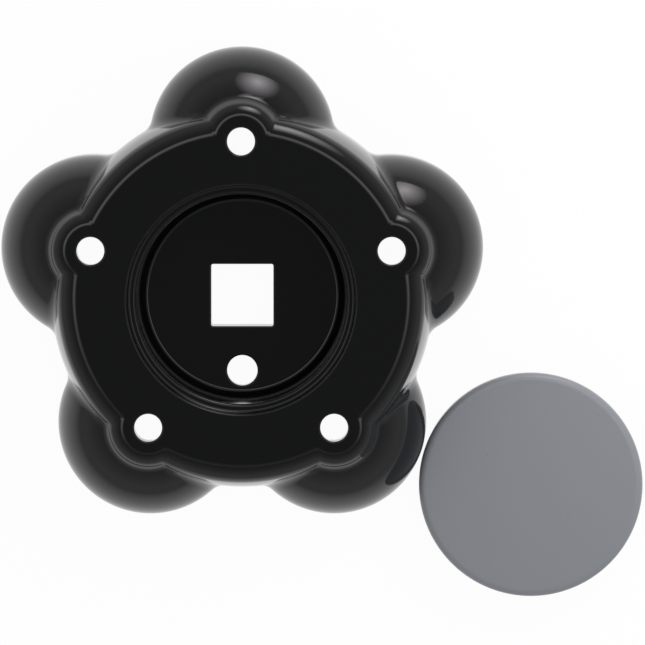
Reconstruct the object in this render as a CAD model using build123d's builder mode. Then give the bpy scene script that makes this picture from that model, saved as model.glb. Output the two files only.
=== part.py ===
from build123d import *
from math import asin, cos, degrees, hypot, radians, sin, sqrt, tan
import os

# Star knob: a hollow-backed black moulding with ball lobes round a ring, a cup
# in the middle with a square drive hole in its floor, and a plain snap cap that
# has been taken off and lies beside it.
#
# Frame: +Z runs along the knob's axis, out of its front face. The origin is on
# the axis, on the plane of the back rim that the knob stands on. One lobe
# points along +Y. All sizes are in millimetres, all angles in degrees.

# The knob's outer form
height = 30.0  # back rim to front face
lobe_count = 5
lobe_pitch_r = 31.9  # axis to the centre of each ball lobe
lobe_r = 18.9
lobe_drop = 21.0  # front face down to the widest plane of lobes and ring
ring_r = 39.0  # ring between the lobes, at its widest
ring_lean = 12.0  # lean of the ring's wall where it meets the rounded edge
face_edge_r = 5.1  # rounded edge between front face and ring wall
crease_r = 1.2  # blend where a lobe grows out of the ring, and a boss out of its lobe

# Bosses that carry the front face out over the lobes, one round each hole
boss_r = 8.2
boss_edge_r = 4.0
hole_r = 2.8
edge_break = 0.4  # chamfer round the mouth of every hole

# The moulding's wall, the same all over, and the cored back
wall = 3.6
rib_thickness = 2.4
rib_setback = 1.5  # ribs stop this far short of the back plane
rim_break = 0.5  # chamfer round the outside of the back rim

# The cup: a counterbore for the cap, a drafted bore and a floor
counterbore_r = 23.1
counterbore_depth = 3.6
bore_r = 21.2  # at the ledge
bore_draft = 2.6
cup_depth = 21.0  # front face to cup floor
floor_fillet_r = 1.5
ledge_break = 0.6  # chamfers on the rim of the cup and on its ledge

# Drive hub, and the round hole beside it in the cup's floor
drive_across = 12.7
drive_corner_r = 0.4
hub_wall = 2.5  # round the drive's corners
pin_hole_r = 3.1
pin_hole_offset = 15.4  # towards -Y

# Snap cap, lying on its skirt with its face up
cap_clearance = 0.2  # radially, in the counterbore
cap_seat_clearance = 0.1  # under the front face when the cap is home
cap_edge_r = 1.6
cap_crown = 0.7
cap_thickness = 2.2
skirt_clearance = 0.15
skirt_length = 6.0
skirt_thickness = 1.6
bead_height = 0.35
bead_length = 1.6
bead_z = 0.8
slot_count = 4
slot_width = 3.0
slot_setback = 1.0  # solid skirt left above each slot
cap_gap = 0.6  # between the cap's edge and the nearest lobe

# Dependent sizes
lean = radians(ring_lean)
draft = tan(radians(bore_draft))
lobe_z = height - lobe_drop
ring_arc_r = (lobe_drop - face_edge_r * (1 - sin(lean))) / sin(lean)
ring_top_r = ring_r - ring_arc_r * (1 - cos(lean))
ledge_z = height - counterbore_depth
floor_z = height - cup_depth
floor_under_z = floor_z - wall
bore_foot_r = bore_r - (ledge_z - floor_z) * draft
cup_outer_r = bore_r + wall
cup_foot_r = cup_outer_r - (ledge_z - floor_under_z) * draft
hub_r = hypot(drive_across, drive_across) / 2 + hub_wall
spare = 5.0  # how far cutting shapes reach past a face

boss_foot_z = lobe_z + sqrt(lobe_r**2 - boss_r**2)

# Radial sections: the knob's looks along -Y, midway between two lobes, and the
# lobe's stands on the lobe's own axis
knob_plane = Plane(origin=(0, 0, 0), x_dir=(0, -1, 0), z_dir=(-1, 0, 0))
lobe_plane = Plane(origin=(0, lobe_pitch_r, 0), x_dir=(1, 0, 0), z_dir=(0, -1, 0))
lobe_axis = Axis((0, lobe_pitch_r, 0), (0, 0, 1))

# One lobe, towards +Y: a ball down to its widest plane, a straight skirt under
# it, and a boss flush with the front face, rounded over down to the ball
with BuildPart() as lobe:
    with BuildSketch(lobe_plane):
        with BuildLine():
            Polyline((0, lobe_z + lobe_r), (0, 0), (lobe_r, 0), (lobe_r, lobe_z))
            JernArc((lobe_r, lobe_z), (0, 1), lobe_r, 90)
        make_face()
    revolve(axis=lobe_axis)
    with BuildSketch(lobe_plane):
        with BuildLine():
            edge = JernArc((boss_r, height - boss_edge_r), (0, 1), boss_edge_r, 90)
            Polyline(edge @ 1, (0, height), (0, lobe_z), (boss_r, lobe_z), edge @ 0)
        make_face()
    revolve(axis=lobe_axis)

# The same lobe one wall smaller, which hollows it from the back
with BuildPart() as lobe_core:
    with BuildSketch(lobe_plane):
        with BuildLine():
            core_r = lobe_r - wall
            Polyline((0, lobe_z + core_r), (0, -spare), (core_r, -spare), (core_r, lobe_z))
            JernArc((core_r, lobe_z), (0, 1), core_r, 90)
        make_face()
    revolve(axis=lobe_axis)

# What cores the back: a ring channel round the cup, open under the cup's floor
# round the hub, and the lobe cores, less the radial ribs between the lobes
with BuildPart() as back_core:
    with BuildSketch(knob_plane):
        with BuildLine():
            Polyline(
                (ring_r - wall, -spare),
                (ring_r - wall, lobe_z),
                (ring_top_r - wall, height - wall),
                (cup_outer_r, height - wall),
                (cup_foot_r, floor_under_z),
                (hub_r, floor_under_z),
                (hub_r, -spare),
                close=True,
            )
        make_face()
    revolve(axis=Axis.Z)
    with BuildSketch(Plane.XY.offset(rib_setback)):
        with PolarLocations((cup_foot_r + ring_r) / 2, lobe_count, start_angle=90 + 180 / lobe_count):
            Rectangle(ring_r - cup_foot_r, rib_thickness)
    extrude(amount=height, mode=Mode.SUBTRACT)
    with PolarLocations(0, lobe_count):
        add(lobe_core.part)
    # The cup's wall stands through the lobe cores
    with BuildSketch(knob_plane):
        Polygon(
            (0, floor_under_z),
            (cup_foot_r, floor_under_z),
            (cup_outer_r, height - wall),
            (cup_outer_r, height),
            (0, height),
            align=None,
        )
    revolve(axis=Axis.Z, mode=Mode.SUBTRACT)

# The space inside the cup, with its broken rim and ledge and its rounded floor
with BuildPart() as cup_space:
    with BuildSketch(knob_plane) as cup_profile:
        Polygon(
            (0, floor_z),
            (bore_foot_r, floor_z),
            (bore_r, ledge_z),
            (counterbore_r, ledge_z),
            (counterbore_r, height),
            (counterbore_r + spare, height),
            (counterbore_r + spare, height + spare),
            (0, height + spare),
            align=None,
        )
        fillet(cup_profile.vertices().sort_by_distance((bore_foot_r, floor_z))[0], floor_fillet_r)
        for corner in ((bore_r, ledge_z), (counterbore_r, height)):
            chamfer(cup_profile.vertices().sort_by_distance(corner)[0], ledge_break)
    revolve(axis=Axis.Z)

# The knob: one moulding
with BuildPart() as knob:
    with BuildSketch(knob_plane):
        with BuildLine():
            side = JernArc((ring_r, lobe_z), (0, 1), ring_arc_r, ring_lean)
            shoulder = JernArc(side @ 1, side % 1, face_edge_r, 90 - ring_lean)
            Polyline(shoulder @ 1, (0, height), (0, 0), (ring_r, 0), side @ 0)
        make_face()
    revolve(axis=Axis.Z)
    with PolarLocations(0, lobe_count):
        add(lobe.part)
    creases = knob.edges(Select.NEW).filter_by(lambda e: e.center().Z < boss_foot_z)
    boss_feet = knob.edges().filter_by(GeomType.CIRCLE).filter_by(
        lambda e: abs(e.radius - boss_r) < edge_break and abs(e.center().Z - boss_foot_z) < edge_break
    )
    fillet(creases + boss_feet, crease_r)
    add(back_core.part, mode=Mode.SUBTRACT)
    add(cup_space.part, mode=Mode.SUBTRACT)

    # Lobe holes, the round hole in the cup's floor and the square drive hole
    with BuildSketch(Plane.XY.offset(height)):
        with PolarLocations(lobe_pitch_r, lobe_count, start_angle=90):
            Circle(hole_r)
    extrude(amount=-height, mode=Mode.SUBTRACT)
    mouths = knob.edges(Select.LAST).filter_by_position(Axis.Z, height - edge_break, height)
    chamfer(mouths, edge_break)
    with BuildSketch(Plane.XY.offset(floor_z)):
        with Locations((0, -pin_hole_offset)):
            Circle(pin_hole_r)
        RectangleRounded(drive_across, drive_across, drive_corner_r)
    extrude(amount=-floor_z, mode=Mode.SUBTRACT)
    mouths = knob.edges(Select.LAST).filter_by_position(Axis.Z, floor_z - edge_break, floor_z)
    chamfer(mouths, edge_break)
    back_rim = knob.faces().filter_by_position(Axis.Z, 0, 0).sort_by(SortBy.AREA)[-1]
    chamfer(back_rim.outer_wire().edges(), rim_break)
knob.part.label = "knob_body"

# The snap cap, where it lies: clear of the lobe at the lower right, in the
# direction midway between that lobe and the one above it
cap_r = counterbore_r - cap_clearance
cap_rim_height = counterbore_depth - cap_seat_clearance
cap_top_z = skirt_length + cap_rim_height + cap_crown
dome_r = cap_r - cap_edge_r
dome_arc_r = (dome_r**2 + cap_crown**2) / (2 * cap_crown)
skirt_r = bore_r - skirt_length * draft - skirt_clearance
skirt_inner_r = skirt_r - skirt_thickness
near_lobe = Vector(lobe_pitch_r, 0).rotate(Axis.Z, 90 - 2 * 360 / lobe_count)
away = Vector(lobe_r + cap_r + cap_gap, 0).rotate(Axis.Z, 90 - 1.5 * 360 / lobe_count)
cap_place = near_lobe + away
cap_plane = Plane(origin=cap_place, x_dir=(1, 0, 0), z_dir=(0, -1, 0))
cap_axis = Axis(cap_place, (0, 0, 1))

with BuildPart() as cap:
    with BuildSketch(cap_plane):
        with BuildLine():
            dome = JernArc((0, cap_top_z), (1, 0), dome_arc_r, -degrees(asin(dome_r / dome_arc_r)))
            rim = JernArc(dome @ 1, (1, 0), cap_edge_r, -90)
            Polyline(
                rim @ 1,
                (cap_r, skirt_length),
                (skirt_r, skirt_length),
                (skirt_r, bead_z + bead_length),
                (skirt_r + bead_height, bead_z + bead_length / 2),
                (skirt_r, bead_z),
                (skirt_r, 0),
                (skirt_inner_r, 0),
                (skirt_inner_r, cap_top_z - cap_thickness),
                (0, cap_top_z - cap_thickness),
                dome @ 0,
            )
        make_face()
    revolve(axis=cap_axis)
    # Slots that let the skirt spring in as it passes the cup's ledge
    with BuildSketch(Plane(origin=cap_place)):
        with PolarLocations(skirt_r, slot_count, start_angle=45):
            Rectangle(3 * skirt_thickness, slot_width)
    extrude(amount=skirt_length - slot_setback, mode=Mode.SUBTRACT)
cap.part.label = "snap_cap"

os.makedirs("parts", exist_ok=True)
for piece in (knob, cap):
    export_step(piece.part, f"parts/{piece.part.label}.step")
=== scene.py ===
# %% [markdown]
# # A star knob and its snap cap
#
# The real part is a black plastic knob with five ball lobes, turned by a square drive in
# the floor of its cup, and a plain grey cap that snaps into the cup's rim. Here the cap
# has been taken off and lies beside the knob.
#
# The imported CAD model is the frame: it fixes where everything is and how large. Its own
# surfaces are made of flat facets that stand out on a glossy ball, so both pieces are
# made again here, from the same sizes, with finer surfaces.

# %% Load the frame
import math

import bpy
import numpy as np
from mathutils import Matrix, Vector


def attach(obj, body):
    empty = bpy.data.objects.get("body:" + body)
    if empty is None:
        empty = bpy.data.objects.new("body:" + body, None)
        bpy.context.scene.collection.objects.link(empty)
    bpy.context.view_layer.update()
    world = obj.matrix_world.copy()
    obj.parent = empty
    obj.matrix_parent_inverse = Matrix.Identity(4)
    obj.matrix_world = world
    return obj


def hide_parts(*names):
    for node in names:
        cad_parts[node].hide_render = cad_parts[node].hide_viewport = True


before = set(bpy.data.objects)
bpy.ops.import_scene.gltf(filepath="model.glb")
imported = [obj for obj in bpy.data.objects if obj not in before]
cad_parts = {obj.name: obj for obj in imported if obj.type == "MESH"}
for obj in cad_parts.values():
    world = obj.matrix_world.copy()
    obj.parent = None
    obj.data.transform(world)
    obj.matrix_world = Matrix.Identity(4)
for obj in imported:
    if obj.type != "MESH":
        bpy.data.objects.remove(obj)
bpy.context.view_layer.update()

print("nodes:", sorted(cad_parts))

# %% [markdown]
# ## Sizes
#
# A drawing of a plastic part is in millimetres and degrees, so these are too. They are
# turned into metres only where a mesh is made.

# %% The knob's sizes
MM = 0.001
HEIGHT = 30.0
LOBE_COUNT = 5
LOBE_PITCH_R = 31.9
LOBE_R = 18.9
LOBE_Z = 9.0  # the widest plane of lobes and ring
RING_R = 39.0
RING_LEAN = math.radians(12)
FACE_EDGE_R = 5.1
CREASE_R = 1.2
BOSS_R = 8.2
BOSS_EDGE_R = 4.0
WALL = 3.6
RIM_BREAK = 0.5

ring_arc_r = (HEIGHT - LOBE_Z - FACE_EDGE_R * (1 - math.sin(RING_LEAN))) / math.sin(RING_LEAN)
boss_foot_z = LOBE_Z + math.sqrt(LOBE_R**2 - BOSS_R**2)
print(f"ring wall bends on {ring_arc_r:.1f} mm, a boss leaves its ball at {boss_foot_z:.1f} mm")

# %% The cup's, the holes' and the cap's sizes
COUNTERBORE_R = 23.1
LEDGE_Z = 26.4
BORE_R = 21.2
BORE_DRAFT = math.tan(math.radians(2.6))
CUP_FLOOR_Z = 9.0
FLOOR_FILLET_R = 1.5
LEDGE_FILLET_R = 0.8
EDGE_R = 0.4
LOBE_HOLE_R = 2.8
PIN_HOLE_R = 3.1
PIN_HOLE_OFFSET = 15.4
DRIVE_ACROSS = 12.7
DRIVE_CORNER_R = 0.4
HUB_R = DRIVE_ACROSS / math.sqrt(2) + 2.5
RIB_THICKNESS = 2.4
RIB_SETBACK = 1.5

CAP_R = 22.9
CAP_EDGE_R = 1.6
CAP_TOP_Z = 10.2
CAP_CROWN = 0.7
CAP_THICKNESS = 2.2
SKIRT_R = 20.78
SKIRT_THICKNESS = 1.6
SKIRT_LENGTH = 6.0
SKIRT_FOOT_BREAK = 0.2
BEAD_PROUD = 0.35
BEAD_LENGTH = 1.6
BEAD_Z = 0.8
SLOT_COUNT = 4
SLOT_WIDTH = 3.0
SLOT_SETBACK = 1.0  # solid skirt left above each slot
CAP_GAP = 0.6  # between the cap's edge and the nearest lobe

cup_floor_under = CUP_FLOOR_Z - WALL
bore_foot_r = BORE_R - (LEDGE_Z - CUP_FLOOR_Z) * BORE_DRAFT
cup_outer_r = BORE_R + WALL
cup_foot_r = cup_outer_r - (LEDGE_Z - cup_floor_under) * BORE_DRAFT
print(f"cup: {2 * BORE_R:.1f} mm at the ledge, {2 * bore_foot_r:.1f} mm at the floor")

# %% [markdown]
# ## The outer form as a distance
#
# Lobes, bosses and ring are each simple to describe by a distance: how far is a point
# from this surface, counted negative inside it? The smaller of two distances is the
# distance to both together, and a small correction near the line where they meet gives
# the rounded crease that a mould leaves there.

# %% Distances to ring, ball and boss
def ring_distance(r, z):
    """The ring between the lobes: a straight wall, a leaning arc, a rounded edge, a flat face."""
    side_centre = RING_R - ring_arc_r
    edge_centre = side_centre + (ring_arc_r - FACE_EDGE_R) * math.cos(RING_LEAN)
    from_side = np.hypot(r - side_centre, z - LOBE_Z) - ring_arc_r
    from_edge = np.hypot(r - edge_centre, z - HEIGHT + FACE_EDGE_R) - FACE_EDGE_R
    lean = np.arctan2(z - LOBE_Z, r - side_centre)
    upper = np.where(r < edge_centre, z - HEIGHT, from_edge)
    return np.where(z < LOBE_Z, r - RING_R, np.where(lean < RING_LEAN, from_side, upper))


def ball_distance(q, z):
    """A lobe: a ball above its widest plane, a straight skirt below it."""
    return np.where(z < LOBE_Z, q, np.hypot(q, z - LOBE_Z)) - LOBE_R


def boss_distance(q, z):
    """The boss on a lobe: a post with a rounded top edge, level with the face."""
    flat_r = BOSS_R - BOSS_EDGE_R
    edge = np.hypot(q - flat_r, z - HEIGHT + BOSS_EDGE_R) - BOSS_EDGE_R
    upper = np.where(q < flat_r, z - HEIGHT, edge)
    return np.where(z < HEIGHT - BOSS_EDGE_R, q - BOSS_R, upper)


def joined(a, b, radius):
    """Both shapes together, with a hollow blend of that radius where they meet."""
    blend = np.hypot(np.maximum(radius - a, 0), np.maximum(radius - b, 0))
    return np.maximum(radius, np.minimum(a, b)) - blend


def form_distance(x, y, z):
    """The whole outer form. Every point is turned to the lobe on +Y that it is nearest to."""
    pitch = 2 * math.pi / LOBE_COUNT
    r = np.hypot(x, y)
    angle = np.arctan2(x, y)
    angle = angle - pitch * np.round(angle / pitch)
    q = np.hypot(r * np.sin(angle), r * np.cos(angle) - LOBE_PITCH_R)
    lobe = joined(ball_distance(q, z), boss_distance(q, z), CREASE_R)
    # The crease runs out where the bosses start, and is a plain corner between them and the ring
    fade = np.clip((boss_foot_z + 1 - z) / 2, 0, 1)
    radius = CREASE_R * fade + 0.3 * (1 - fade) * np.clip(HEIGHT - z, 0, 1)
    return joined(lobe, ring_distance(r, z), radius)


def form_normal(points):
    """The direction in which the distance grows fastest is the surface's own normal."""
    step = 0.01
    slopes = []
    for axis in range(3):
        ahead = points.copy()
        behind = points.copy()
        ahead[:, axis] += step
        behind[:, axis] -= step
        slopes.append(form_distance(*ahead.T) - form_distance(*behind.T))
    normals = np.stack(slopes, axis=1)
    return normals / np.linalg.norm(normals, axis=1, keepdims=True)


tip_error = abs(float(form_distance(0.0, LOBE_PITCH_R + LOBE_R, LOBE_Z / 2)))
print(f"the lobe's tip is on the surface to {tip_error:.4f} mm")

# %% [markdown]
# ## The knob's skin
#
# Seen from a circle inside the ring, no part of the outer surface hides another. So rays
# are cast from that circle, row by row from straight up to level, and each is shortened
# by halves until it ends on the surface. The rows are closest over the rounded edges,
# where the gloss shows every facet.

# %% Cast the rays and close the skin
COLUMNS = 540
ANCHOR_R = 28.0
FAR = 60.0

rows = np.radians(
    np.concatenate([np.linspace(0, 9, 3), np.linspace(10.5, 37, 50), np.linspace(38.5, 90, 36)])
)
turns = np.linspace(0, 2 * np.pi, COLUMNS, endpoint=False)
row_grid, turn_grid = np.meshgrid(rows, turns, indexing="ij")


def ray_points(length):
    r = ANCHOR_R + length * np.sin(row_grid)
    return r * np.sin(turn_grid), r * np.cos(turn_grid), LOBE_Z + length * np.cos(row_grid)


near = np.zeros_like(row_grid)
far = np.full_like(row_grid, FAR)
for _ in range(40):
    middle = (near + far) / 2
    inside = form_distance(*ray_points(middle)) < 0
    near = np.where(inside, middle, near)
    far = np.where(inside, far, middle)
skin = np.stack(ray_points(far), axis=-1)

outline = skin[-1]
outward = form_normal(outline)
lower = outline.copy()
lower[:, 2] = RIM_BREAK
foot = outline - outward * RIM_BREAK
foot[:, 2] = 0
skin = np.concatenate([skin, [lower, foot]])
print(f"skin: {skin.shape[0]} rows of {skin.shape[1]} points")


# %% A helper that makes a mesh object from millimetres
def new_object(name, points, faces):
    mesh = bpy.data.meshes.new(name)
    mesh.from_pydata((np.asarray(points, float) * MM).tolist(), [], faces)
    mesh.update()
    made = bpy.data.objects.new(name, mesh)
    bpy.context.collection.objects.link(made)
    return made


def tube_faces(row_count, column_count):
    """Four-sided faces between rows of points that run round an axis."""
    faces = []
    for row in range(row_count - 1):
        for column in range(column_count):
            following = (column + 1) % column_count
            here = row * column_count
            below = here + column_count
            faces.append((here + column, here + following, below + following, below + column))
    return faces


row_count = len(skin)
first_row = list(range(COLUMNS))
last_row = [(row_count - 1) * COLUMNS + column for column in range(COLUMNS)]
skin_faces = tube_faces(row_count, COLUMNS)
skin_faces += [first_row[::-1], last_row]
knob = new_object("star_knob_body", skin.reshape(-1, 3), skin_faces)
print(f"{len(knob.data.polygons)} faces on the closed skin")

# %% [markdown]
# ## Repeating a shape round the axis
#
# Holes, pockets, ribs and slots each come several times round an axis. One small
# Geometry Nodes tree makes them all: it puts a point on the axis for each copy and turns
# the copy by its share of a full turn.

# %% The tree that repeats a shape
def socket_name(tree, name):
    """A modifier's input is set by this identifier, not by the name that people read."""
    for item in tree.interface.items_tree:
        if item.item_type == "SOCKET" and item.in_out == "INPUT" and item.name == name:
            return item.identifier
    raise KeyError(name)


def round_axis_tree():
    tree = bpy.data.node_groups.new("repeat_round_axis", "GeometryNodeTree")
    sockets = tree.interface
    sockets.new_socket("Geometry", in_out="INPUT", socket_type="NodeSocketGeometry")
    sockets.new_socket("Count", in_out="INPUT", socket_type="NodeSocketInt")
    sockets.new_socket("First Turn", in_out="INPUT", socket_type="NodeSocketFloat")
    sockets.new_socket("Axis Place", in_out="INPUT", socket_type="NodeSocketVector")
    sockets.new_socket("Material", in_out="INPUT", socket_type="NodeSocketMaterial")
    sockets.new_socket("Geometry", in_out="OUTPUT", socket_type="NodeSocketGeometry")
    add, link = tree.nodes.new, tree.links.new
    given = add("NodeGroupInput")
    points = add("GeometryNodePoints")
    instances = add("GeometryNodeInstanceOnPoints")
    number = add("GeometryNodeInputIndex")
    share = add("ShaderNodeMath")
    share.operation = "DIVIDE"
    full_turn = add("ShaderNodeMath")
    full_turn.operation = "MULTIPLY_ADD"
    full_turn.inputs[1].default_value = 2 * math.pi
    turn = add("ShaderNodeCombineXYZ")
    realize = add("GeometryNodeRealizeInstances")
    paint = add("GeometryNodeSetMaterial")
    result = add("NodeGroupOutput")
    link(given.outputs["Count"], points.inputs["Count"])
    link(given.outputs["Axis Place"], points.inputs["Position"])
    link(number.outputs[0], share.inputs[0])
    link(given.outputs["Count"], share.inputs[1])
    link(share.outputs[0], full_turn.inputs[0])
    link(given.outputs["First Turn"], full_turn.inputs[2])
    link(full_turn.outputs[0], turn.inputs["Z"])
    link(points.outputs[0], instances.inputs["Points"])
    link(given.outputs["Geometry"], instances.inputs["Instance"])
    link(turn.outputs[0], instances.inputs["Rotation"])
    link(instances.outputs[0], realize.inputs[0])
    link(realize.outputs[0], paint.inputs["Geometry"])
    link(given.outputs["Material"], paint.inputs["Material"])
    link(paint.outputs[0], result.inputs[0])
    return tree


REPEAT = round_axis_tree()


def plain_mesh(thing):
    """Puts what the modifiers make into the object's own mesh, and takes the modifiers off."""
    depsgraph = bpy.context.evaluated_depsgraph_get()
    mesh = bpy.data.meshes.new_from_object(thing.evaluated_get(depsgraph))
    thing.modifiers.clear()
    thing.data = mesh


def repeat_round_axis(thing, count, first_turn=0.0, place=(0.0, 0.0, 0.0), material=None):
    modifier = thing.modifiers.new("repeat", "NODES")
    modifier.node_group = REPEAT
    modifier[socket_name(REPEAT, "Count")] = count
    modifier[socket_name(REPEAT, "First Turn")] = first_turn
    modifier[socket_name(REPEAT, "Axis Place")] = place
    modifier[socket_name(REPEAT, "Material")] = material
    plain_mesh(thing)
    return thing


# %% [markdown]
# ## Cutting shapes
#
# Everything that a mould's core pins leave open is cut out of the solid skin. Most of it
# is round, so it is turned from a half section, as on a lathe. Each section has its
# small roundings in it, so that the cut leaves the same soft edges as the real mould.

# %% Turned shapes and rounded corners
CIRCLE_STEPS = 192
CUP_STEPS = 288
SMALL_CIRCLE_STEPS = 96


def arc(centre, radius, start, end, steps=8):
    """Points on an arc in the half section, from one angle to another in degrees."""
    angles = np.radians(np.linspace(start, end, steps + 1))
    return [(centre[0] + radius * math.cos(a), centre[1] + radius * math.sin(a)) for a in angles]


def turned(name, section, centre=(0.0, 0.0), steps=CIRCLE_STEPS):
    """A closed solid from a half section of (radius, height), drawn from the axis up or out to the axis."""
    angles = np.linspace(0, 2 * np.pi, steps, endpoint=False)
    points, faces, rings = [], [], []
    for radius, height in section:
        if radius == 0:
            rings.append([len(points)] * steps)
            points.append((centre[0], centre[1], height))
        else:
            rings.append(list(range(len(points), len(points) + steps)))
            points += [
                (centre[0] + radius * math.cos(a), centre[1] + radius * math.sin(a), height)
                for a in angles
            ]
    for one, other in zip(rings, rings[1:] + rings[:1]):
        if one[0] == one[-1] and other[0] == other[-1]:
            continue
        for i in range(steps):
            j = (i + 1) % steps
            corners = list(dict.fromkeys((one[i], one[j], other[j], other[i])))
            faces.append(tuple(corners))
    return new_object(name, points, faces)


def hole_section(radius, low, high, mouth_r):
    """A hole that is open above: straight from below, then rounded out into its mouth."""
    mouth = arc((radius + mouth_r, high - mouth_r), mouth_r, 180, 90)
    return [(0, low), (radius, low), *mouth, (radius + mouth_r, high + WALL), (0, high + WALL)]


# %% Cut one solid out of another, or join them
def combine(target, tool, operation):
    modifier = target.modifiers.new("combine", "BOOLEAN")
    modifier.operation = operation
    modifier.solver = "MANIFOLD"
    modifier.object = tool
    plain_mesh(target)
    bpy.data.objects.remove(tool)
    print(f"{operation.lower()}: {len(target.data.polygons)} faces")


# %% [markdown]
# ## Cup, holes and the hollow back
#
# The back of the real knob is cored so that the plastic is the same few millimetres
# thick all over: a ring channel round the cup, a pocket in each lobe, and a rib between
# each two lobes that ties the cup to the outer wall.

# %% The space inside the cup
cup_section = [
    (0, CUP_FLOOR_Z),
    *arc((bore_foot_r - FLOOR_FILLET_R, CUP_FLOOR_Z + FLOOR_FILLET_R), FLOOR_FILLET_R, -90, 0),
    *arc((BORE_R + LEDGE_FILLET_R, LEDGE_Z - LEDGE_FILLET_R), LEDGE_FILLET_R, 180, 90),
    *arc((COUNTERBORE_R - LEDGE_FILLET_R, LEDGE_Z + LEDGE_FILLET_R), LEDGE_FILLET_R, -90, 0),
    *arc((COUNTERBORE_R + EDGE_R, HEIGHT - EDGE_R), EDGE_R, 180, 90),
    (COUNTERBORE_R + EDGE_R, HEIGHT + WALL),
    (0, HEIGHT + WALL),
]
cup = turned("cup", cup_section, steps=CUP_STEPS)
combine(knob, cup, "DIFFERENCE")

# %% The back's core
channel_section = [
    (RING_R - WALL, -WALL),
    (RING_R - WALL, LOBE_Z),
    (RING_R - WALL - ring_arc_r * (1 - math.cos(RING_LEAN)), HEIGHT - WALL),
    (cup_outer_r, HEIGHT - WALL),
    (cup_foot_r, cup_floor_under),
    (HUB_R, cup_floor_under),
    (HUB_R, -WALL),
]
core = turned("core", channel_section)


def bar(name, width, y_range, z_range):
    """A straight bar across the Y axis, as wide as given, between two radii and two heights."""
    half = width / 2
    low, high = y_range
    corners = ((-half, low), (half, low), (half, high), (-half, high))
    points = [(x, y, z) for z in z_range for x, y in corners]
    sides = [(0, 1, 5, 4), (1, 2, 6, 5), (2, 3, 7, 6), (3, 0, 4, 7)]
    return new_object(name, points, [(3, 2, 1, 0), (4, 5, 6, 7), *sides])


rib = bar("rib", RIB_THICKNESS, (cup_foot_r, RING_R), (RIB_SETBACK, HEIGHT))
combine(core, repeat_round_axis(rib, LOBE_COUNT, math.pi / LOBE_COUNT), "DIFFERENCE")

lobe_core_r = LOBE_R - WALL
lobe_core_section = [
    (0, -WALL),
    (lobe_core_r, -WALL),
    *arc((0, LOBE_Z), lobe_core_r, 0, 90, steps=24)[:-1],
    (0, LOBE_Z + lobe_core_r),
]
lobe_core = turned("lobe_core", lobe_core_section, centre=(0, LOBE_PITCH_R), steps=SMALL_CIRCLE_STEPS)
combine(core, repeat_round_axis(lobe_core, LOBE_COUNT), "UNION")

cup_wall_section = [
    (0, cup_floor_under),
    (cup_foot_r, cup_floor_under),
    (cup_outer_r, HEIGHT - WALL),
    (cup_outer_r, HEIGHT),
    (0, HEIGHT),
]
cup_wall = turned("cup_wall", cup_wall_section)
combine(core, cup_wall, "DIFFERENCE")
combine(knob, core, "DIFFERENCE")

# %% Lobe holes, and the round hole in the cup's floor
lobe_hole_section = hole_section(LOBE_HOLE_R, -WALL, HEIGHT, EDGE_R)
lobe_hole = turned("lobe_hole", lobe_hole_section, centre=(0, LOBE_PITCH_R), steps=SMALL_CIRCLE_STEPS)
combine(knob, repeat_round_axis(lobe_hole, LOBE_COUNT), "DIFFERENCE")

pin_hole_section = hole_section(PIN_HOLE_R, -WALL, CUP_FLOOR_Z, EDGE_R)
pin_hole_place = (0, -PIN_HOLE_OFFSET)
pin_hole = turned("pin_hole", pin_hole_section, centre=pin_hole_place, steps=SMALL_CIRCLE_STEPS)
combine(knob, pin_hole, "DIFFERENCE")


# %% The square drive hole, with rounded corners and a rounded mouth
def rounded_square(across, corner_r, z, steps=6):
    points = []
    reach = across / 2 - corner_r
    for quarter, (sx, sy) in enumerate(((1, 1), (-1, 1), (-1, -1), (1, -1))):
        corner = arc((sx * reach, sy * reach), corner_r, 90 * quarter, 90 * (quarter + 1), steps)
        points += [(x, y, z) for x, y in corner]
    return points


def stacked(name, loops):
    """A closed solid through a stack of outlines, the lowest first."""
    count = len(loops[0])
    points = [point for loop in loops for point in loop]
    faces = tube_faces(len(loops), count)
    faces += [tuple(reversed(range(count))), tuple(range(len(points) - count, len(points)))]
    return new_object(name, points, faces)


drive_loops = [rounded_square(DRIVE_ACROSS, DRIVE_CORNER_R, -WALL)]
for grow, z in arc((EDGE_R, CUP_FLOOR_Z - EDGE_R), EDGE_R, 180, 90):
    drive_loops.append(rounded_square(DRIVE_ACROSS + 2 * grow, DRIVE_CORNER_R + grow, z))
mouth_across = DRIVE_ACROSS + 2 * EDGE_R
drive_loops.append(rounded_square(mouth_across, DRIVE_CORNER_R + EDGE_R, CUP_FLOOR_Z + EDGE_R))
combine(knob, stacked("drive", drive_loops), "DIFFERENCE")

# %% [markdown]
# ## Smooth light on the knob
#
# Gloss shows a wrong surface direction at once. The mesh's own corners are smoothed
# wherever they turn by less than a sharp edge does, with the large faces leading, and on
# the outer form the exact direction is known from the distance itself.

# %% Set the surface directions
SHARP = math.radians(28)
LARGE_FACES_LEAD = 90
ON_SURFACE = 0.003  # millimetres
EXACT_WITHIN = math.radians(20)


def smooth_by_area(thing):
    thing.data.shade_smooth()
    thing.data.set_sharp_from_angle(angle=SHARP)
    modifier = thing.modifiers.new("smooth", "WEIGHTED_NORMAL")
    modifier.keep_sharp = True
    modifier.weight = LARGE_FACES_LEAD
    plain_mesh(thing)


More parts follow.
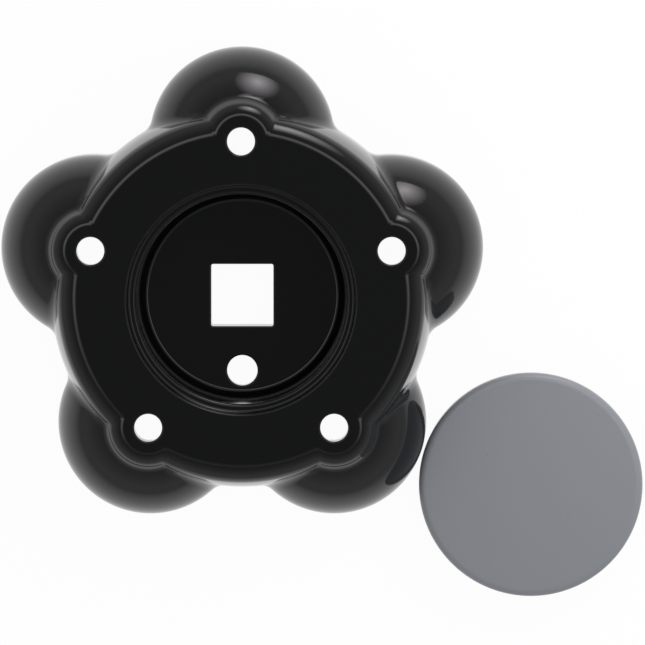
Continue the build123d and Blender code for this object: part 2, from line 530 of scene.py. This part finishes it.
smooth_by_area(knob)
mesh = knob.data
point_count, corner_count, face_count = len(mesh.vertices), len(mesh.loops), len(mesh.polygons)
points = np.empty(point_count * 3)
mesh.vertices.foreach_get("co", points)
points = points.reshape(-1, 3) / MM
normals = np.empty(corner_count * 3, dtype=np.float32)
mesh.corner_normals.foreach_get("vector", normals)
normals = normals.reshape(-1, 3)
corner_point = np.empty(corner_count, dtype=np.int32)
mesh.loops.foreach_get("vertex_index", corner_point)
face_first = np.empty(face_count, dtype=np.int32)
mesh.polygons.foreach_get("loop_start", face_first)
face_size = np.empty(face_count, dtype=np.int32)
mesh.polygons.foreach_get("loop_total", face_size)
face_normal = np.empty(face_count * 3)
mesh.polygons.foreach_get("normal", face_normal)
face_normal = face_normal.reshape(-1, 3)

on_form = np.abs(form_distance(*points.T)) < ON_SURFACE
exact = np.zeros_like(points)
exact[on_form] = form_normal(points[on_form])
corner_face = np.repeat(np.arange(face_count), face_size)
face_on_form = np.logical_and.reduceat(on_form[corner_point], face_first)
turned_by = np.einsum("ij,ij->i", exact[corner_point], face_normal[corner_face])
agrees = turned_by > math.cos(EXACT_WITHIN)
above_rim = points[corner_point][:, 2] > RIM_BREAK - ON_SURFACE
use_exact = face_on_form[corner_face] & agrees & above_rim
normals[use_exact] = exact[corner_point][use_exact]
mesh.normals_split_custom_set(normals.tolist())
print(f"{int(use_exact.sum())} of {corner_count} corners take the exact direction")

# %% [markdown]
# ## The snap cap
#
# The cap is a low disc with a faintly crowned face and a soft edge. Under it stands a
# skirt, slotted in four places so that it can spring in, with a small bead round it that
# snaps under the cup's ledge. It is turned as one section and then slotted.

# %% Turn the cap and cut its slots
near_lobe = math.radians(90 - 2 * 360 / LOBE_COUNT)
away = math.radians(90 - 1.5 * 360 / LOBE_COUNT)
cap_x = LOBE_PITCH_R * math.cos(near_lobe) + (LOBE_R + CAP_R + CAP_GAP) * math.cos(away)
cap_y = LOBE_PITCH_R * math.sin(near_lobe) + (LOBE_R + CAP_R + CAP_GAP) * math.sin(away)

dome_r = CAP_R - CAP_EDGE_R
dome_arc_r = (dome_r**2 + CAP_CROWN**2) / (2 * CAP_CROWN)
dome_half = math.degrees(math.asin(dome_r / dome_arc_r))
dome = arc((0, CAP_TOP_Z - dome_arc_r), dome_arc_r, 90, 90 - dome_half, steps=24)
edge = arc((dome_r, CAP_TOP_Z - CAP_CROWN - CAP_EDGE_R), CAP_EDGE_R, 90, 0, steps=12)
bead_arc_r = ((BEAD_LENGTH / 2) ** 2 + BEAD_PROUD**2) / (2 * BEAD_PROUD)
bead_half = math.degrees(math.asin(BEAD_LENGTH / 2 / bead_arc_r))
bead_centre = (SKIRT_R + BEAD_PROUD - bead_arc_r, BEAD_Z + BEAD_LENGTH / 2)
cap_section = [
    (0, CAP_TOP_Z),
    *dome[1:],
    *edge[1:],
    (CAP_R, SKIRT_LENGTH),
    (SKIRT_R, SKIRT_LENGTH),
    *arc(bead_centre, bead_arc_r, bead_half, -bead_half),
    (SKIRT_R, SKIRT_FOOT_BREAK),
    (SKIRT_R - SKIRT_FOOT_BREAK, 0),
    (SKIRT_R - SKIRT_THICKNESS, 0),
    (SKIRT_R - SKIRT_THICKNESS, CAP_TOP_Z - CAP_THICKNESS),
    (0, CAP_TOP_Z - CAP_THICKNESS),
]
cap = turned("snap_cap_moulding", cap_section[::-1], centre=(cap_x, cap_y), steps=2 * CIRCLE_STEPS)

slot_reach = 1.5 * SKIRT_THICKNESS
slot_radii = (SKIRT_R - slot_reach, SKIRT_R + slot_reach)
slot = bar("slot", SLOT_WIDTH, slot_radii, (-SLOT_SETBACK, SKIRT_LENGTH - SLOT_SETBACK))
cap_place = (cap_x * MM, cap_y * MM, 0.0)
repeat_round_axis(slot, SLOT_COUNT, math.pi / SLOT_COUNT, place=cap_place)
combine(cap, slot, "DIFFERENCE")
smooth_by_area(cap)

# %% [markdown]
# ## Moulded plastic
#
# Both pieces come out of a mould, so both have its faint marks: a low waviness where the
# plastic shrank, a fine grain, and here and there a spot that is a little duller. One
# node group makes these for both, and each material sets its own strength.

# %% The moulded surface as a node group
def moulded_surface():
    tree = bpy.data.node_groups.new("moulded_surface", "ShaderNodeTree")
    for name in ("Grain Scale", "Grain Depth", "Wave Depth", "Roughness", "Roughness Spread"):
        tree.interface.new_socket(name, in_out="INPUT", socket_type="NodeSocketFloat")
    tree.interface.new_socket("Height", in_out="OUTPUT", socket_type="NodeSocketFloat")
    tree.interface.new_socket("Roughness", in_out="OUTPUT", socket_type="NodeSocketFloat")
    add, link = tree.nodes.new, tree.links.new
    given = add("NodeGroupInput")
    result = add("NodeGroupOutput")
    place = add("ShaderNodeTexCoord")

    def noise(detail, scale=None):
        texture = add("ShaderNodeTexNoise")
        texture.inputs["Detail"].default_value = detail
        if scale is not None:
            texture.inputs["Scale"].default_value = scale
        link(place.outputs["Object"], texture.inputs["Vector"])
        return texture

    def times(socket, name):
        node = add("ShaderNodeMath")
        node.operation = "MULTIPLY"
        link(socket, node.inputs[0])
        link(given.outputs[name], node.inputs[1])
        return node.outputs[0]

    grain = noise(3.0)
    link(given.outputs["Grain Scale"], grain.inputs["Scale"])
    wave = noise(1.0, scale=70.0)
    dull = noise(4.0, scale=160.0)
    height = add("ShaderNodeMath")
    link(times(grain.outputs["Fac"], "Grain Depth"), height.inputs[0])
    link(times(wave.outputs["Fac"], "Wave Depth"), height.inputs[1])
    link(height.outputs[0], result.inputs["Height"])
    centred = add("ShaderNodeMath")
    centred.operation = "SUBTRACT"
    centred.inputs[1].default_value = 0.5
    link(dull.outputs["Fac"], centred.inputs[0])
    rough = add("ShaderNodeMath")
    link(times(centred.outputs[0], "Roughness Spread"), rough.inputs[0])
    link(given.outputs["Roughness"], rough.inputs[1])
    link(rough.outputs[0], result.inputs["Roughness"])
    return tree


MOULDED = moulded_surface()


# %% The two plastics
def plastic(name, colour, ior, **marks):
    material = bpy.data.materials.new(name)
    material.use_nodes = True
    nodes, links = material.node_tree.nodes, material.node_tree.links
    shader = nodes["Principled BSDF"]
    shader.inputs["Base Color"].default_value = (*colour, 1.0)
    shader.inputs["IOR"].default_value = ior
    surface = nodes.new("ShaderNodeGroup")
    surface.node_tree = MOULDED
    for socket, value in marks.items():
        surface.inputs[socket.replace("_", " ").title()].default_value = value
    bump = nodes.new("ShaderNodeBump")
    bump.inputs["Distance"].default_value = MM
    links.new(surface.outputs["Height"], bump.inputs["Height"])
    links.new(surface.outputs["Roughness"], shader.inputs["Roughness"])
    links.new(bump.outputs["Normal"], shader.inputs["Normal"])
    return material


glossy_black = plastic(
    "glossy_black",
    colour=(0.0024, 0.0026, 0.003),
    ior=1.5,
    grain_scale=9000.0,
    grain_depth=0.0006,
    wave_depth=0.012,
    roughness=0.07,
    roughness_spread=0.06,
)
satin_grey = plastic(
    "satin_grey",
    colour=(0.21, 0.22, 0.24),
    ior=1.47,
    grain_scale=5200.0,
    grain_depth=0.02,
    wave_depth=0.006,
    roughness=0.3,
    roughness_spread=0.12,
)

for piece, node, material, slot_name in (
    (knob, "knob_body", glossy_black, "black_moulding"),
    (cap, "snap_cap", satin_grey, "grey_cap"),
):
    piece.data.materials.clear()
    piece.data.materials.append(material)
    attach(piece, "root")
    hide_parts(node)
    triangles = sum(len(face.vertices) - 2 for face in piece.data.polygons)
    print(f"{piece.name}: {triangles} triangles")

# %% [markdown]
# ## Surroundings
#
# The floor and the sky are white to the camera, and the floor still takes a little of the
# object's shadow. In the gloss the floor is white near the object, and the room grows
# darker overhead, so that the black plastic stays black from above. The light itself comes
# from the room, from a soft lamp low behind the knob, and from a panel at the upper right
# that is kept out of the gloss.

# %% Floor
FLOOR_R = 500.0
FLOOR_DROP = 0.02  # keeps the floor just clear of the surfaces that stand on it
GLOSS_NEAR, NEAR_R = 0.95, 60.0  # how white the floor is in the gloss, within this radius
GLOSS_FAR, FAR_R = 0.45, 160.0
SHADOW_SHARE = 0.04  # how much of the real floor, with its shadow, shows through the white

floor_rim = [
    (FLOOR_R * math.cos(a), FLOOR_R * math.sin(a), -FLOOR_DROP)
    for a in np.linspace(0, 2 * np.pi, CIRCLE_STEPS, endpoint=False)
]
floor = new_object("floor", floor_rim, [tuple(range(CIRCLE_STEPS))])
paper = bpy.data.materials.new("white_paper")
paper.use_nodes = True
nodes, links = paper.node_tree.nodes, paper.node_tree.links
diffuse = nodes["Principled BSDF"]
diffuse.inputs["Base Color"].default_value = (0.8, 0.8, 0.8, 1.0)
diffuse.inputs["Roughness"].default_value = 0.9
white = nodes.new("ShaderNodeEmission")
rays = nodes.new("ShaderNodeLightPath")
place = nodes.new("ShaderNodeTexCoord")
distance = nodes.new("ShaderNodeVectorMath")
distance.operation = "LENGTH"
in_gloss = nodes.new("ShaderNodeMapRange")
in_gloss.inputs["From Min"].default_value = NEAR_R * MM
in_gloss.inputs["From Max"].default_value = FAR_R * MM
in_gloss.inputs["To Min"].default_value = GLOSS_NEAR
in_gloss.inputs["To Max"].default_value = GLOSS_FAR
strength = nodes.new("ShaderNodeMix")
strength.inputs["B"].default_value = 1.0
seen = nodes.new("ShaderNodeMath")
seen.operation = "MAXIMUM"
share = nodes.new("ShaderNodeMath")
share.operation = "MULTIPLY"
share.inputs[1].default_value = 1 - SHADOW_SHARE
mix = nodes.new("ShaderNodeMixShader")
links.new(place.outputs["Object"], distance.inputs[0])
links.new(distance.outputs["Value"], in_gloss.inputs["Value"])
links.new(in_gloss.outputs["Result"], strength.inputs["A"])
links.new(rays.outputs["Is Camera Ray"], strength.inputs["Factor"])
links.new(strength.outputs["Result"], white.inputs["Strength"])
links.new(rays.outputs["Is Camera Ray"], seen.inputs[0])
links.new(rays.outputs["Is Glossy Ray"], seen.inputs[1])
links.new(seen.outputs[0], share.inputs[0])
links.new(share.outputs[0], mix.inputs["Fac"])
links.new(diffuse.outputs[0], mix.inputs[1])
links.new(white.outputs[0], mix.inputs[2])
# Seen from below, the floor is clear, so that the hollow back can be looked at
clear = nodes.new("ShaderNodeBsdfTransparent")
side = nodes.new("ShaderNodeNewGeometry")
from_below = nodes.new("ShaderNodeMixShader")
links.new(side.outputs["Backfacing"], from_below.inputs["Fac"])
links.new(mix.outputs[0], from_below.inputs[1])
links.new(clear.outputs[0], from_below.inputs[2])
links.new(from_below.outputs[0], nodes["Material Output"].inputs["Surface"])
floor.data.materials.append(paper)

# %% Sky: white to the camera, brighter at the horizon than overhead in the gloss
# Heights are the upward part of a direction, 0 at the horizon and 1 overhead
ROOM_AT_HORIZON = 0.5
ROOM_OVERHEAD = 0.15
RING_LIGHT = 1.7
RING_HEIGHT = math.sin(math.radians(55))
RING_HALF_WIDTH = 0.1
RING_SHARE_IN_FRONT = 0.12
PLAIN_LEVEL = 0.76

world = bpy.data.worlds.new("room")
bpy.context.scene.world = world
world.use_nodes = True
nodes, links = world.node_tree.nodes, world.node_tree.links
background = nodes["Background"]
background.inputs["Color"].default_value = (1.0, 1.0, 1.0, 1.0)
direction = nodes.new("ShaderNodeTexCoord")
parts = nodes.new("ShaderNodeSeparateXYZ")
by_height = nodes.new("ShaderNodeMapRange")
by_height.inputs["From Min"].default_value = 0.1
by_height.inputs["From Max"].default_value = 0.85
by_height.inputs["To Min"].default_value = ROOM_AT_HORIZON
by_height.inputs["To Max"].default_value = ROOM_OVERHEAD
# A narrow bright ring, where the white walls round the object end; it is dim on the near side
from_ring = nodes.new("ShaderNodeMath")
from_ring.operation = "SUBTRACT"
from_ring.inputs[1].default_value = RING_HEIGHT
off_ring = nodes.new("ShaderNodeMath")
off_ring.operation = "ABSOLUTE"
ring = nodes.new("ShaderNodeMapRange")
ring.interpolation_type = "SMOOTHSTEP"
ring.inputs["From Max"].default_value = RING_HALF_WIDTH
ring.inputs["To Min"].default_value = RING_LIGHT
ring.inputs["To Max"].default_value = 0.0
behind = nodes.new("ShaderNodeMapRange")
behind.inputs["From Min"].default_value = -0.4
behind.inputs["From Max"].default_value = 0.1
behind.inputs["To Min"].default_value = RING_SHARE_IN_FRONT
lit_ring = nodes.new("ShaderNodeMath")
lit_ring.operation = "MULTIPLY"
room = nodes.new("ShaderNodeMath")
links.new(parts.outputs["Y"], behind.inputs["Value"])
links.new(parts.outputs["Z"], from_ring.inputs[0])
links.new(from_ring.outputs[0], off_ring.inputs[0])
links.new(off_ring.outputs[0], ring.inputs["Value"])
links.new(ring.outputs["Result"], lit_ring.inputs[0])
links.new(behind.outputs["Result"], lit_ring.inputs[1])
links.new(by_height.outputs["Result"], room.inputs[0])
links.new(lit_ring.outputs[0], room.inputs[1])

rays = nodes.new("ShaderNodeLightPath")
in_gloss = nodes.new("ShaderNodeMix")
in_gloss.inputs["A"].default_value = PLAIN_LEVEL
to_white = nodes.new("ShaderNodeMix")
to_white.inputs["B"].default_value = 1.0
links.new(direction.outputs["Generated"], parts.inputs[0])
links.new(parts.outputs["Z"], by_height.inputs["Value"])
links.new(rays.outputs["Is Glossy Ray"], in_gloss.inputs["Factor"])
links.new(room.outputs[0], in_gloss.inputs["B"])
links.new(in_gloss.outputs["Result"], to_white.inputs["A"])
links.new(rays.outputs["Is Camera Ray"], to_white.inputs["Factor"])
links.new(to_white.outputs["Result"], background.inputs["Strength"])


# %% Lamps
def soft_lamp(
    name, azimuth, elevation, half_angle, radiance, colour=(1, 1, 1), distance=1.2, in_gloss=True
):
    """A round panel that faces the knob. Azimuth is counted from +Y towards +X, in degrees."""
    radius = distance * math.tan(math.radians(half_angle))
    lamp = bpy.data.lights.new(name, "AREA")
    lamp.shape = "DISK"
    lamp.size = 2 * radius
    lamp.color = colour
    lamp.energy = radiance * math.pi * math.pi * radius**2
    made = bpy.data.objects.new(name, lamp)
    bpy.context.collection.objects.link(made)
    a, e = math.radians(azimuth), math.radians(elevation)
    towards = Vector((math.sin(a) * math.cos(e), math.cos(a) * math.cos(e), math.sin(e)))
    made.location = towards * distance
    made.rotation_euler = towards.to_track_quat("Z", "Y").to_euler()
    made.visible_glossy = in_gloss
    made.visible_camera = False
    print(f"{name}: {lamp.energy:.1f} W")


LAMP_TINT = (1.0, 0.94, 0.98)
# Panels one in front of another, each smaller and brighter, so that the lamp fades to its edge
LAMP_STEPS = 8
for step in range(LAMP_STEPS):
    share = step / (LAMP_STEPS - 1)
    soft_lamp(
        f"low_lamp_{step}",
        azimuth=15,
        elevation=11,
        half_angle=21 - 18 * share,
        radiance=0.5 + 0.4 * share,
        colour=LAMP_TINT,
        distance=1.2 - 0.01 * step,
    )
soft_lamp("top_panel", 60, 42, 24, 2.3, distance=0.32, in_gloss=False)

# %% [markdown]
# ## Camera
#
# The camera looks down almost along the knob's axis, leaning over a little from the far
# side, and from far away, so that the lobes show hardly any perspective.

# %% Place the camera
VIEW_WIDTH = 131.9  # millimetres across the view, at the height of the lobes' widest plane
CAMERA_TILT = 2.9
CAMERA_DISTANCE = 1370.0
LOOK_AT = (16.4, -5.6, LOBE_Z)

camera_data = bpy.data.cameras.new("camera")
camera = bpy.data.objects.new("camera", camera_data)
bpy.context.collection.objects.link(camera)
camera_data.lens = camera_data.sensor_width * CAMERA_DISTANCE / VIEW_WIDTH
tilt = math.radians(CAMERA_TILT)
camera.location = (
    LOOK_AT[0] * MM,
    (LOOK_AT[1] + CAMERA_DISTANCE * math.sin(tilt)) * MM,
    (LOOK_AT[2] + CAMERA_DISTANCE * math.cos(tilt)) * MM,
)
camera.rotation_euler = (-tilt, 0.0, 0.0)
bpy.context.scene.camera = camera
bpy.context.scene.view_settings.view_transform = "Standard"
print(f"lens {camera_data.lens:.0f} mm")
